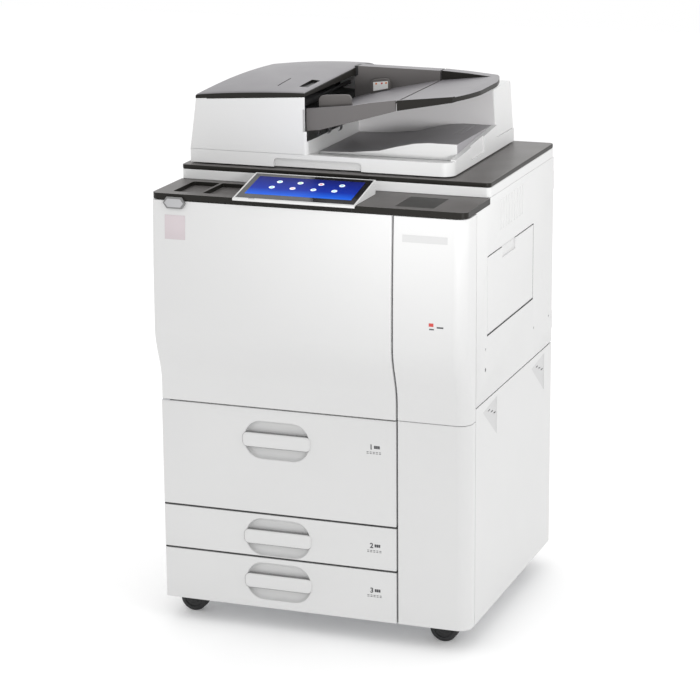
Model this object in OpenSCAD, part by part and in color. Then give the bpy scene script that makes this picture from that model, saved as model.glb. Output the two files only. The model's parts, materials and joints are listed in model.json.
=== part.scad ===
// Floor-standing A3 photocopier with a document feeder, three paper drawers and four casters.
// Millimetres. Z up from the floor, front towards -Y, origin on the floor under the middle.

/* [Cabinet] */
// Width over the side covers
body_w = 690; // [688:1:696]
// Half of the depth over the side covers
half_d = 309; // [308:0.5:312]
// Height of the lower edge of the covers above the floor
skirt_z = 51; // [51:0.5:53]
// Width of the fixed column right of the door and the drawers
column_w = 156; // [150:1:160]
// Wall thickness of the moulded covers
skin = 3; // [2.5:0.1:3.5]
// Dark gap between neighbouring front panels
seam = 3.5; // [3:0.1:4]

/* [Front door] */
// How far the upper front swells out in front of the drawers
bulge = 31; // [28:1:31]
// Height of the front door
door_h = 437.5; // [434:0.5:438]
// How far the top of the door leans back
door_lean = 8; // [4:1:9]
// Radius of the rounded front corner of the column
corner_r = 28; // [24:1:30]

/* [Drawers] */
// Height of the front of drawer 1, the large one at the top
drawer_1_h = 231; // [229:1:233]
// Height of the front of drawer 2
drawer_2_h = 94; // [92:1:95]
// Height of the front of drawer 3, the lowest one
drawer_3_h = 113; // [111:1:114]
// Depth of the trays behind the fronts
tray_d = 531; // [500:1:540]
// Width of the finger recess in a drawer front
recess_w = 145; // [130:1:150]
// Height of the finger recess in a drawer front
recess_h = 82; // [74:1:84]

/* [Casters] */
// Radius of the caster wheels
wheel_r = 31; // [29:0.5:31]
// Distance from the swivel axis to the wheel axle
trail = 18; // [14:1:18]

/* [Control panel] */
// Width of the control panel
panel_w = 267.5; // [262:0.5:268]
// Depth of the control panel
panel_d = 136; // [132:1:138]
// Slope of the control panel's face
panel_tilt = 12.5; // [11:0.5:13.5]

/* [Document feeder] */
// Width of the lid with its feeder
lid_w = 588; // [580:1:590]
// Depth of the lid with its feeder
lid_d = 449; // [446:1:450]
// Height of the lid's lower shell
lid_rim = 29; // [28:0.5:30]
// Rise of the crown on the feed cover
crown = 9; // [7:0.5:12]

/* [Hidden] */
$fn = 48;

// Levels and edges of the cabinet
xr = body_w / 2;
xl = -xr;
yb = half_d;
yf = -half_d;
split_x = xr - column_w;
door_r = split_x - seam;
d3_z = skirt_z;
d2_z = d3_z + drawer_3_h + seam + 0.5;
d1_z = d2_z + drawer_2_h + seam + 0.5;
door_z = d1_z + drawer_1_h + seam;
door_top = door_z + door_h;
deck_z = door_top + 2.5;
deck_h = 12.5;
deck_top = deck_z + deck_h;
deck_f = yf - 24;
scan_f = -174;
strip_h = 21;
plate_z = deck_top + strip_h;
plate_h = 10;
plate_top = plate_z + plate_h;
front_t = 18;
column_d = 43;

// Steel frame
pan_z = 66;
sheet_t = 3;
frame_x = xr - 7;
shelf_z = door_z - 1.5;
partition_x = split_x + 0.5;
back_y = yb - 12;

// Casters: swivel axes, and the wheel behind its axis
caster_x = 289;
caster_y = 238;
stem_r = 6;
axle_r = 4;
fit = 0.05;
CASTERS = [[-caster_x, -caster_y], [caster_x, -caster_y], [-caster_x, caster_y], [caster_x, caster_y]];

// Door hinge
pin_x = xl + 6;
pin_y = yf + 4;
pin_r = 2.5;
door_back = yf + 10;

// Document feeder, in a frame whose zero is the top of the platen plate
lid_x0 = xl + 14;
lid_x1 = lid_x0 + lid_w;
lid_y0 = yf + 154;
lid_y1 = lid_y0 + lid_d;
lid_z0 = 3;
rim_z = lid_z0 + lid_rim;
feed_x1 = -63;
tray_x1 = 127;
rear_y = 165;
cover_x0 = -317;
cover_x1 = -69;
hinge_y = 306;
hinge_z = plate_top + 16;
HINGE_X = [-200, 140];

// A block between two opposite corners
module block(a, b) {
    translate(a) cube(b - a);
}

// A rounded rectangle between two corners, with one radius
module rounded(a, b, r) {
    translate([a[0] + r, a[1]]) square([b[0] - a[0] - 2 * r, b[1] - a[1]]);
    translate([a[0], a[1] + r]) square([b[0] - a[0], b[1] - a[1] - 2 * r]);
    for (x = [a[0] + r, b[0] - r], y = [a[1] + r, b[1] - r])
        translate([x, y]) circle(r);
}

// An outline in X and Z, extruded along Y from y0 to y1
module along_y(y0, y1) {
    translate([0, y1, 0]) rotate([90, 0, 0]) linear_extrude(y1 - y0) children();
}

// An outline in Y and Z, extruded along X from x0 to x1
module along_x(x0, x1) {
    translate([x0, 0, 0]) rotate([90, 0, 90]) linear_extrude(x1 - x0) children();
}

// A shaft or bore along Y, and one along X
module rod_y(x, z, r, y0, y1) {
    translate([x, y0, z]) rotate([-90, 0, 0]) cylinder(r = r, h = y1 - y0);
}

module rod_x(y, z, r, x0, x1) {
    translate([x0, y, z]) rotate([0, 90, 0]) cylinder(r = r, h = x1 - x0);
}

// ---- Swollen upper front ----

swell_z0 = door_z + 36;
swell_z1 = door_z + 161;
flat_y = yf - 2;

// Front face of the door and the column at height z: flush below, swollen above, leaning back on top
function swell(z) =
    let (t = min(1, max(0, (z - swell_z0) / (swell_z1 - swell_z0))),
         s = (1 - cos(180 * t)) / 2,
         lean = door_lean * pow(max(0, (z - swell_z1) / (door_top - swell_z1)), 2))
    flat_y - (bulge + flat_y - yf) * s + lean;

// One level of a swollen panel: a plan outline with a rounded left and right front corner
function swell_ring(x0, x1, r0, r1, y1, inset, z) =
    let (y = swell(z) + inset, n = 6)
    concat([[x0 + inset, y1, z]],
        [for (i = [0 : n]) let (a = 180 + 90 * i / n)
            [x0 + inset + r0 + r0 * cos(a), y + r0 + r0 * sin(a), z]],
        [for (i = [0 : n]) let (a = 270 + 90 * i / n)
            [x1 - inset - r1 + r1 * cos(a), y + r1 + r1 * sin(a), z]],
        [[x1 - inset, y1, z]]);

// Solid between stacked rings that all have the same number of points
module stack(rings) {
    n = len(rings[0]);
    m = len(rings);
    polyhedron(
        points = [for (ring = rings, p = ring) p],
        faces = concat([[for (i = [0 : n - 1]) i]],
            [[for (i = [n - 1 : -1 : 0]) (m - 1) * n + i]],
            [for (k = [0 : m - 2], i = [0 : n - 1])
                [k * n + i, (k + 1) * n + i, (k + 1) * n + (i + 1) % n, k * n + (i + 1) % n]]),
        convexity = 6);
}

module swollen(x0, x1, r0, r1, y1, inset, z0, z1) {
    steps = 12;
    mid = [for (i = [0 : steps]) swell_z0 + (swell_z1 - swell_z0) * i / steps];
    top = [for (i = [1 : 3]) swell_z1 + (z1 - swell_z1) * i / 4];
    stack([for (z = concat([z0], mid, top, [z1])) swell_ring(x0, x1, r0, r1, y1, inset, z)]);
}

// ---- Steel frame with its door pins ----

module caster_boss(at) {
    translate([at[0], at[1], pan_z + sheet_t - 0.01]) cylinder(r = 12, h = 12);
}

module drawer_rails(z) {
    block([-frame_x + 2, -286, z], [-frame_x + 14, 290, z + 3]);
    block([partition_x - 13, -270, z], [partition_x, 290, z + 3]);
}

module base_frame() {
    color("silver") difference() {
        union() {
            block([-frame_x, -286, pan_z], [frame_x, back_y, pan_z + sheet_t]);
            block([-frame_x, -286, pan_z], [-frame_x + 2, back_y, deck_z - 4]);
            block([partition_x, -272, pan_z], [partition_x + 2, back_y, 900]);
            block([partition_x, -272, 899], [partition_x + 2, -178, deck_z - 4]);
            block([partition_x, yf + column_d, pan_z], [frame_x - 4, yf + column_d + 2.5, deck_z - 4]);
            block([frame_x - 2, -270, pan_z], [frame_x, back_y, 518]);
            block([-frame_x, back_y, pan_z], [frame_x, back_y + 2, deck_z - 4]);
            block([-frame_x, -286, shelf_z], [partition_x + 1, back_y, shelf_z + sheet_t]);
            block([-frame_x, -286, deck_z - 4], [frame_x, -240, deck_z - 0.5]);
            for (z = [d1_z + 20, d2_z + 18, d3_z + 49]) drawer_rails(z);
            for (at = CASTERS) caster_boss(at);
            door_pin(shelf_z - 0.8, 1);
            door_pin(deck_z - 1.8, -1);
        }
        for (at = CASTERS) translate([at[0], at[1], pan_z - 1]) cylinder(r = stem_r + fit, h = 20);
        block([split_x - 0.5, yf - 1, 0], [xr + 1, yf + column_d, deck_z]);
    }
}

// One bracket of the door hinge with its pin, up (1) or down (-1)
module door_pin(z, way) {
    block([xl + 3.5, pin_y - 6, z], [xl + 20, -280, z + 1.6]);
    translate([pin_x, pin_y, way > 0 ? z : z - 14]) cylinder(r = pin_r, h = 15.6);
}

// ---- Covers ----

// Space of the deck, which the side covers leave free
module under_deck() {
    block([xl - 1, yf - 50, deck_z - 0.5], [xr + 1, deck_b + 0.5, deck_top + 1]);
}

module left_cover() {
    color("whitesmoke") difference() {
        block([xl, yf + 14, skirt_z], [xl + skin, yb, deck_top]);
        block([xl - 1, yf, skirt_z - 1], [xl + skin + 1, yf + front_t + 0.5, door_z - 2]);
        under_deck();
        for (i = [0 : 9], k = [0 : 1])
            block([xl - 1, -200 + 26 * i, 640 + 100 * k], [xl + skin + 1, -180 + 26 * i, 644 + 100 * k]);
    }
}

module right_lower_cover() {
    color("whitesmoke") difference() {
        block([xr - skin, yf + column_d + 1.5, skirt_z], [xr, yb, 526]);
        for (y = [-215, 149]) translate([0, y, 0]) louvre_tri();
    }
}

// One sunk triangular vent of the lower side cover, with its point downwards at the back
module louvre_tri() {
    translate([xr - 1.2, 0, 0]) rotate([90, 0, 90]) linear_extrude(2)
        polygon([[0, 505], [101, 515], [101, 431]]);
    for (i = [0 : 2])
        block([xr - skin - 1, 40 + 20 * i, 496 - 8 * i], [xr + 1, 56 + 20 * i, 499 - 8 * i]);
}

module column_upper() {
    color("whitesmoke") difference() {
        swollen(split_x, xr, 3, corner_r, yf + column_d, 0, door_z, door_top);
        swollen(split_x, xr, 3, corner_r - skin, yf + column_d + 5.5, skin, door_z - 1, door_top - skin);
    }
}

// Plan outline of the column, with its rounded outer corner
module column_plan(grow, r) {
    corner = [xr + grow - r, yf - grow + r];
    difference() {
        translate([split_x - grow, yf - grow]) square([column_w + 2 * grow, column_d + grow]);
        difference() {
            translate(corner - [0, r + 1]) square([r + 1, r + 1]);
            translate(corner) circle(r);
        }
    }
}

module column_lower() {
    color("whitesmoke") difference() {
        translate([0, 0, skirt_z]) linear_extrude(door_z - 0.8 - skirt_z) column_plan(0, corner_r);
        translate([0, 6, skirt_z + skin]) linear_extrude(door_z) column_plan(-skin, corner_r - skin);
        // Room for the caster to swivel
        translate([caster_x, -caster_y, skirt_z - 1]) cylinder(r = trail + wheel_r + 3, h = 15);
    }
}

module rear_cover() {
    bx = 250;
    color("whitesmoke") difference() {
        union() {
            block([xl + 3.5, yb - skin, skirt_z], [xr - 3.5, yb, deck_top]);
            along_x(-bx, bx) polygon([[yb - 1, 180], [340, 200], [340, 830], [yb - 1, 850]]);
            for (z = [552, 872]) door_knuckle_pair(z);
        }
        block([-bx + skin, yb - skin - 1, 210], [bx - skin, 340 - skin, 820]);
        for (i = [0 : 13], k = [0 : 1])
            block([-190 + 200 * k, 330, 640 + 12 * i], [-10 + 200 * k, 341, 646 + 12 * i]);
        block([-300, yb - skin - 1, 92], [-252, yb + 1, 126]);
    }
}

side_pin = [xr - 4, yb + 3.5];

// The fixed knuckles and the pin of one hinge of the right-hand door
module door_knuckle_pair(z) {
    for (dz = [0, 48.3]) {
        translate([side_pin[0], side_pin[1], z + dz]) cylinder(r = 3, h = 7.7);
        block([side_pin[0] - 8, yb - 1, z + dz], [side_pin[0], yb + 5, z + dz + 7.7]);
    }
    translate([side_pin[0], side_pin[1], z]) cylinder(r = 1.5, h = 56);
}

// ---- Deck with its open bins ----

deck_b = scan_f;

module deck_plan(r) {
    difference() {
        translate([xl, deck_f]) square([body_w, deck_b - deck_f]);
        for (s = [-1, 1]) translate([s * xr - (s > 0 ? r : 0), deck_f - 1]) square([r, r + 1]);
    }
    for (s = [-1, 1]) translate([s * (xr - r), deck_f + r]) circle(r);
}

KNUCKLES = [-120, 30];
rod_yz = [deck_f - 2.9, deck_top - 4];
rod_r = 1.5;

module deck() {
    color("dimgray") difference() {
        union() {
            translate([0, 0, deck_z]) linear_extrude(deck_h) deck_plan(14);
            for (x = KNUCKLES) {
                rod_x(rod_yz[0], rod_yz[1], rod_r, x - 30, x + 30);
                for (s = [-30, 26])
                    block([x + s, deck_f - 3, rod_yz[1] - 1.2], [x + s + 4, deck_f + 1, rod_yz[1] + 1.2]);
            }
        }
        for (x = [[-307, -246], [-240, -171]])
            translate([0, 0, deck_z + 4]) linear_extrude(deck_h)
                rounded([x[0], deck_f + 26], [x[1], -197], 5);
        block([185, -309, deck_top - 0.6], [267, -209, deck_top + 1]);
    }
}

// ---- Engine bay behind the front door ----

bottle_xz = [-225, 830];

module inner_cover() {
    color("gainsboro") difference() {
        block([-328, -296, shelf_z + 4], [door_r - 4, -288, deck_z - 6]);
        rod_y(bottle_xz[0], bottle_xz[1], 64, -301, -287);
        block([-140, -301, 560], [170, -287, 640]);
        block([-60, -301, 700], [-20, -287, 790]);
    }
}

module toner_bottle() {
    color("dimgray") {
        rod_y(bottle_xz[0], bottle_xz[1], 62, -294, 60);
        rod_y(bottle_xz[0], bottle_xz[1], 30, 60, 90);
        block([bottle_xz[0] - 40, -301, bottle_xz[1] - 6], [bottle_xz[0] + 40, -294, bottle_xz[1] + 6]);
    }
}

module drum_unit() {
    color("darkslategray") {
        block([-130, -282, shelf_z + 30], [80, 240, 560]);
        rod_y(-40, 610, 50, -276, 230);
        block([-56, -298, 704], [-24, -270, 786]);
        block([-130, -270, 690], [100, 240, 800]);
    }
}

module fuser_unit() {
    color("slategray") {
        rod_y(135, 600, 22, -284, 240);
        rod_y(135, 556.5, 21, -284, 240);
        block([96, -284, 630], [174, 240, 660]);
    }
}

// ---- Scanner ----

glass_x = [-215, 205];
glass_y = [-120, 180];
slit_x = [-262, -240];

module scanner_housing() {
    wx = 322;
    color("whitesmoke") difference() {
        union() {
            translate([0, 0, deck_top]) linear_extrude(strip_h) rounded([xl, scan_f], [xr, yb], 10);
            block([-wx, scan_f + 8, 905], [wx, yb - 16, deck_top + 1]);
        }
        translate([0, 0, deck_top + skin]) linear_extrude(strip_h)
            rounded([xl + skin, scan_f + skin], [xr - skin, yb - skin], 7);
        block([-wx + 2, scan_f + 10, 907], [wx - 2, yb - 18, plate_z]);
    }
}

module top_plate() {
    r = 10;
    color("dimgray") difference() {
        translate([0, 0, plate_z]) linear_extrude(plate_h) rounded([xl, scan_f], [xr, yb], r);
        block([glass_x[0], glass_y[0], plate_top - 4], [glass_x[1], glass_y[1], plate_top + 1]);
        block([glass_x[0] + 6, glass_y[0] + 6, plate_z - 1], [glass_x[1] - 6, glass_y[1] - 6, plate_top]);
        block([slit_x[0], glass_y[0], plate_top - 4], [slit_x[1], glass_y[1], plate_top + 1]);
        block([slit_x[0] + 4, glass_y[0] + 6, plate_z - 1], [slit_x[1] - 4, glass_y[1] - 6, plate_top]);
    }
}

module platen_glass() {
    color("lightcyan", 0.5)
        block([glass_x[0], glass_y[0], plate_top - 4], [glass_x[1], glass_y[1], plate_top]);
}

module slit_glass() {
    color("lightcyan", 0.5)
        block([slit_x[0], glass_y[0], plate_top - 4], [slit_x[1], glass_y[1], plate_top]);
}

rail_yz = [80, 925];
rail_r = 4;

module scan_rail() {
    color("silver") rod_x(rail_yz[0], rail_yz[1], rail_r, -320, 320);
}

module scan_carriage() {
    color("black") difference() {
        block([-275, -125, 918], [-230, 185, 962]);
        rod_x(rail_yz[0], rail_yz[1], rail_r + fit, -276, -229);
        block([-258, -118, 940], [-244, 178, 963]);
    }
}

module mains_inlet() {
    color("black") difference() {
        block([-299.8, yb - 12 + 2.5, 92.2], [-252.2, yb + 2, 125.8]);
        block([-290, yb - 8, 97], [-262, yb + 3, 121]);
    }
    color("silver") for (x = [-283, -276, -269])
        block([x - 1, yb - 8.5, 107], [x + 1, yb, 112]);
}

// ---- Front door ----

module front_door() {
    hinge_stile = 15;
    color("whitesmoke") difference() {
        swollen(xl, door_r, 8, 3, door_back, 0, door_z, door_top);
        swollen(xl + hinge_stile, door_r, 8, 3, door_back + 1, skin, door_z + skin, door_top - skin);
        for (z = [door_z - 1, door_top - 19])
            translate([pin_x, pin_y, z]) cylinder(r = pin_r + fit, h = 20);
    }
}

// ---- Right-hand door with the bypass tray ----

bypass_y = [-190, 152];
bypass_z = [663, 834];
bypass_pin = [xr - 4, bypass_z[0] + 6];

module right_door() {
    color("whitesmoke") difference() {
        union() {
            block([xr - skin, yf + column_d + 1.5, 529], [xr, yb, deck_top]);
            for (z = [560, 880]) side_barrel(z);
        }
        block([xr - skin - 1, bypass_y[0], bypass_z[0]], [xr + 1, bypass_y[1], bypass_z[1]]);
        under_deck();
        for (z = [559, 879])
            translate([side_pin[0], side_pin[1], z]) cylinder(r = 1.5 + fit, h = 42);
        for (i = [0 : 8])
            block([xr - 1, -103 + 20 * i, 872], [xr + 1, -93 + 20 * i, 936]);
    }
}

// The moving barrel of one hinge of the right-hand door
module side_barrel(z) {
    translate([side_pin[0], side_pin[1], z]) cylinder(r = 3, h = 40);
    block([xr - skin, yb - 3, z], [xr, side_pin[1] + 0.5, z + 40]);
}

module bypass_liner() {
    color("gainsboro") difference() {
        block([298, bypass_y[0] - 3, bypass_z[0] - 3], [xr - skin, bypass_y[1] + 3, 903]);
        block([301, bypass_y[0], bypass_z[0]], [xr, bypass_y[1], 900]);
        block([297, -150, 680], [302, 112, 692]);
    }
}

module bypass_tray() {
    color("whitesmoke") difference() {
        union() {
            rod_y(bypass_pin[0], bypass_pin[1], 4, bypass_y[0] + 1.5, bypass_y[1] - 1.5);
            block([xr - 8, bypass_y[0] + 1.5, bypass_pin[1]], [xr, bypass_y[1] - 1.5, bypass_z[1] - 3]);
            for (y = [bypass_y[0] + 1.5, bypass_y[1] - 13.5])
                block([xr - 14, y, bypass_pin[1] + 20], [xr - 7, y + 12, bypass_z[1] - 10]);
        }
        block([xr - 4, -81, 808], [xr + 1, 15, bypass_z[1]]);
    }
}

module bypass_extension() {
    color("gainsboro") difference() {
        block([xr - 12, -150, 692], [xr - 8.5, 112, 824]);
        block([xr - 13, -70, 800], [xr - 8, 32, 825]);
    }
}

module bypass_guide(y) {
    color("dimgray") block([xr - 26, y - 2, 700], [xr - 12.4, y + 2, 770]);
}

module bypass_guide_front() {
    bypass_guide(-125);
}

module bypass_guide_rear() {
    bypass_guide(87);
}

// ---- Drawers ----

grip_x = -82;
grip_w = 154;
grip_h = 30;

// Arched bar that spans the finger recess
module grip_outline(z) {
    intersection() {
        rounded([grip_x - grip_w / 2, z - grip_h / 2 - 2], [grip_x + grip_w / 2, z + grip_h / 2], 9);
        translate([grip_x, z + 398]) circle(r = 415, $fn = 180);
    }
}

// A drawer front between two heights, with the middle of its grip at height grip
module drawer_front(z0, z1, grip) {
    color("whitesmoke") {
        difference() {
            block([xl, yf, z0], [door_r, yf + front_t, z1]);
            along_y(yf - 1, yf + 13)
                rounded([grip_x - recess_w / 2, grip - recess_h / 2],
                    [grip_x + recess_w / 2, grip + recess_h / 2], 37);
        }
        along_y(yf - 4, yf + 1) grip_outline(grip);
    }
}

// A paper tray with its two side fences and its runners
module drawer_tray(z0, z1, runner) {
    x0 = -320;
    x1 = 172;
    y0 = yf + front_t;
    y1 = y0 + tray_d;
    color("darkgray") {
        difference() {
            block([x0, y0, z0], [x1, y1, z1]);
            block([x0 + 2.5, y0 + 2.5, z0 + 2.5], [x1 - 2.5, y1 - 2.5, z1 + 1]);
        }
        for (y = [-174, 131]) block([-200, y, z0 + 2], [60, y + 3, z1 - 8]);
        block([-334, y0 + 6, runner], [x0 + 0.1, y1 - 20, runner + 4]);
        block([x1 - 0.1, y0 + 25, runner], [187, y1 - 20, runner + 4]);
    }
}

// The steel plate that lifts the paper, with a rolled edge on the left
module lift_plate(z) {
    color("silver") {
        block([-300, -169, z], [155, 129, z + 1.6]);
        rod_y(-300, z + 0.8, 1.2, -169, 129);
    }
}

module drawer_1_front() {
    drawer_front(d1_z, d1_z + drawer_1_h, d1_z + 162);
}

module drawer_2_front() {
    drawer_front(d2_z, d2_z + drawer_2_h, d2_z + 43);
}

module drawer_3_front() {
    drawer_front(d3_z, d3_z + drawer_3_h, d3_z + 60);
}

module drawer_1_tray() {
    drawer_tray(d1_z + 6, d1_z + drawer_1_h - 8, d1_z + 23.5);
}

module drawer_2_tray() {
    drawer_tray(d2_z + 4, d2_z + drawer_2_h - 6, d2_z + 21.5);
}

module drawer_3_tray() {
    drawer_tray(d3_z + 35, d3_z + drawer_3_h - 6, d3_z + 52.5);
}

module drawer_1_plate() {
    lift_plate(d1_z + 9.5);
}

module drawer_2_plate() {
    lift_plate(d2_z + 7.5);
}

module drawer_3_plate() {
    lift_plate(d3_z + 38.5);
}

// ---- Casters ----

module caster_fork(at) {
    color("black") translate([at[0], at[1], 0]) {
        translate([0, 0, pan_z - 1]) cylinder(r = stem_r, h = 13);
        translate([0, 0, 2 * wheel_r + 0.8]) cylinder(r = 20, h = pan_z - 2 * wheel_r - 1.1);
        difference() {
            along_y(-2.6, 2.6) {
                translate([-trail - 12, wheel_r]) square([trail + 24, wheel_r + 2]);
                translate([-trail, wheel_r]) circle(12);
            }
            rod_y(-trail, wheel_r, axle_r + fit, -4, 4);
        }
    }
}

// Two discs on a common axle
module caster_wheel(at) {
    color("black") translate([at[0] - trail, at[1], 0]) {
        for (y = [-13, 3.2]) rod_y(0, wheel_r, wheel_r, y, y + 9.8);
        rod_y(0, wheel_r, axle_r, -12, 12);
    }
}

module caster_fork_1() {
    caster_fork(CASTERS[0]);
}

module caster_fork_2() {
    caster_fork(CASTERS[1]);
}

module caster_fork_3() {
    caster_fork(CASTERS[2]);
}

module caster_fork_4() {
    caster_fork(CASTERS[3]);
}

module caster_wheel_1() {
    caster_wheel(CASTERS[0]);
}

module caster_wheel_2() {
    caster_wheel(CASTERS[1]);
}

module caster_wheel_3() {
    caster_wheel(CASTERS[2]);
}

module caster_wheel_4() {
    caster_wheel(CASTERS[3]);
}

// ---- Control panel ----

panel_x0 = -159.5;
panel_f = deck_f - 6.5;
panel_lip = deck_top + 0.5;
lip_t = 1.8;

// Moves its children into the plane of the panel's face, with Y up the slope
module on_panel() {
    translate([0, panel_f, panel_lip]) rotate([panel_tilt, 0, 0]) children();
}

module panel_housing() {
    rise = panel_d * sin(panel_tilt);
    back = panel_f + panel_d * cos(panel_tilt);
    color("whitesmoke") difference() {
        union() {
            along_x(panel_x0, panel_x0 + panel_w)
                polygon([[panel_f, deck_top - 4], [panel_f, panel_lip], [back, panel_lip + rise],
                    [back - 4, deck_top + 0.6], [deck_f - 0.5, deck_top + 0.6], [deck_f - 0.5, deck_top - 1.5],
                    [panel_f + lip_t, deck_top - 1.5], [panel_f + lip_t, deck_top - 4]]);
            for (x = KNUCKLES) {
                rod_x(rod_yz[0], rod_yz[1], 2.6, x - 10, x + 10);
                block([x - 10, panel_f + 1, rod_yz[1]], [x + 10, rod_yz[0] + 2.2, deck_top - 1]);
            }
        }
        for (x = KNUCKLES) rod_x(rod_yz[0], rod_yz[1], rod_r + fit, x - 11, x + 11);
        on_panel() block([panel_x0 + 3.5, 7, -1.4], [panel_x0 + panel_w - 3.5, panel_d - 3, 1]);
        on_panel() block([panel_x0 + 34, 2.2, -1.4], [panel_x0 + 48, 5.8, 1]);
    }
}

module panel_glass() {
    color("midnightblue") on_panel()
        block([panel_x0 + 3.6, 7.1, -1.4], [panel_x0 + panel_w - 3.6, panel_d - 3.1, 0]);
}

module power_key() {
    color("gray") on_panel() block([panel_x0 + 34.3, 2.5, -0.5], [panel_x0 + 47.7, 5.5, 0.5]);
}

// ---- Lid and its hinges ----

module lid_hinge_brackets() {
    color("silver") for (c = HINGE_X) {
        for (x = [c - 24, c + 14]) along_x(x, x + 10) {
            translate([hinge_y, hinge_z]) circle(10);
            translate([hinge_y - 10, plate_top]) square([20, hinge_z - plate_top]);
        }
        rod_x(hinge_y, hinge_z, 5, c - 24, c + 24);
    }
}

module lid_hinge_knuckles() {
    color("silver") difference() {
        for (c = HINGE_X) {
            rod_x(hinge_y, hinge_z, 9, c - 13.5, c + 13.5);
            block([c - 13.5, lid_y1, hinge_z - 8], [c + 13.5, hinge_y, hinge_z + 8]);
        }
        for (c = HINGE_X) rod_x(hinge_y, hinge_z, 5 + fit, c - 15, c + 15);
    }
}

// Plan of the lid: square at the back and left, one rounded corner at the front right
module lid_plan(inset, r) {
    a = [lid_x0 + inset, lid_y0 + inset];
    b = [lid_x1 - inset, lid_y1 - inset];
    difference() {
        translate(a) square(b - a);
        translate([b[0] - r, a[1] - 1]) square([r + 1, r + 1]);
    }
    translate([b[0] - r, a[1] + r]) circle(r);
}

module lid_base() {
    color("whitesmoke") translate([0, 0, plate_top]) {
        difference() {
            union() {
                translate([0, 0, lid_z0]) linear_extrude(lid_rim) lid_plan(0, 26);
                side_rim();
            }
            translate([0, 0, 9]) linear_extrude(12) lid_plan(12, 16);
            translate([0, 0, 22]) linear_extrude(60)
                intersection() {
                    lid_plan(12, 16);
                    translate([feed_x1, lid_y0]) square([400, rear_y - lid_y0 + 0.01]);
                }
            block([lid_x0 + 12, lid_y0 + 12, 20], [feed_x1 - skin, lid_y1 - 12, 40]);
            block([-220, -126, 0], [212, 188, 6]);
            along_y(lid_y0 - 1, lid_y0 + 9) {
                translate([-140, 0]) square([197, 12]);
                rounded([-140, 2], [57, 22], 9);
            }
            block([lid_x1 - 4, -23, 16], [lid_x1 + 1, 70, 70]);
        }
        // Shelf between the front rim and the foot of the exit tray
        block([feed_x1, lid_y0 + 11, 21], [lid_x1 - 11, -84, 24]);
    }
}

// The right-hand rim, which rises towards the back
module side_rim() {
    along_x(lid_x1 - 12, lid_x1) polygon([[lid_y0 + 26, rim_z - 1], [lid_y0 + 26, rim_z + 3],
        [rear_y, rim_z + 28], [rear_y, rim_z - 1]]);
}

module platen_pad() {
    color("white") translate([0, 0, plate_top]) block([-218, -124, 0.5], [210, 186, 6]);
}

module lid_shift() {
    translate([0, 0, plate_top]) children();
}

// ---- Feeder body ----

bearing_y = [-148, 284];
ROLLERS = [[-128, 118, 11], [-88, 108, 11]];

// Plan of the feeder body, with a rounded front right corner
module feeder_plan(r) {
    difference() {
        translate([lid_x0, lid_y0]) square([feed_x1 - lid_x0, lid_d]);
        translate([feed_x1 - r, lid_y0 - 1]) square([r + 1, r + 1]);
    }
    translate([feed_x1 - r, lid_y0 + r]) circle(r);
}

module feeder_body() {
    x0 = lid_x0;
    top = 139;
    color("whitesmoke") lid_shift() difference() {
        union() {
            // Tapering shell
            difference() {
                intersection() {
                    along_y(lid_y0, lid_y1) polygon([[x0, rim_z], [x0 + 15, top], [feed_x1 - 6, top + 15],
                        [feed_x1 - 6, 128], [feed_x1 - 10, 128], [feed_x1 - 10, 81], [feed_x1, 81],
                        [feed_x1, rim_z]]);
                    linear_extrude(300) feeder_plan(9);
                }
                along_y(lid_y0 + skin, lid_y1 - skin)
                    polygon([[x0 + skin, rim_z - 1], [x0 + 15 + skin, top + 30], [feed_x1 + 1, top + 30],
                        [feed_x1 + 1, 60], [feed_x1 - skin, 60], [feed_x1 - skin, rim_z - 1]]);
            }
            for (y = bearing_y) block([-150, y, rim_z], [-72, y + 4, 134]);
        }
        for (r = ROLLERS) rod_y(r[0], r[1], 4 + fit, -149, 289);
    }
}

module feeder_rollers() {
    color("black") lid_shift() {
        rod_y(ROLLERS[0][0], ROLLERS[0][1], 4, -147.5, 287.5);
        rod_y(ROLLERS[0][0], ROLLERS[0][1], ROLLERS[0][2], -30, 70);
    }
}

module rear_housing() {
    color("whitesmoke") lid_shift() difference() {
        along_y(rear_y, lid_y1)
            polygon([[feed_x1, rim_z], [feed_x1, 137], [lid_x1 - 9, 137], [lid_x1 - 2, rim_z]]);
        along_y(rear_y + skin, lid_y1 - skin) polygon([[feed_x1 + skin, rim_z - 1], [feed_x1 + skin, 134],
            [lid_x1 - 12, 134], [lid_x1 - 5, rim_z - 1]]);
    }
}

module exit_tray() {
    color("gray") lid_shift() difference() {
        along_y(-84, rear_y) polygon([[feed_x1, 24], [feed_x1, 28], [10, 30], [73, 37], [110, 47], [150, 56],
            [180, 59], [lid_x1 - 12, 59], [lid_x1 - 12, 24]]);
        block([199, 37, 55], [213.5, 153, 60]);
        along_y(-81, rear_y - 3)
            polygon([[120, 23], [120, 46], [180, 54], [lid_x1 - 15, 54], [lid_x1 - 15, 23]]);
    }
}

module exit_stopper() {
    color("dimgray") lid_shift() {
        block([200, 38, 55.6], [211.5, 152, 58.8]);
        rod_y(211.5, 57.2, 1.6, 38, 152);
    }
}

// ---- Document tray ----

function table(x) = x < 0 ? 125 + 20 * x / 71 : 125 + 27 * x / tray_x1;

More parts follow.
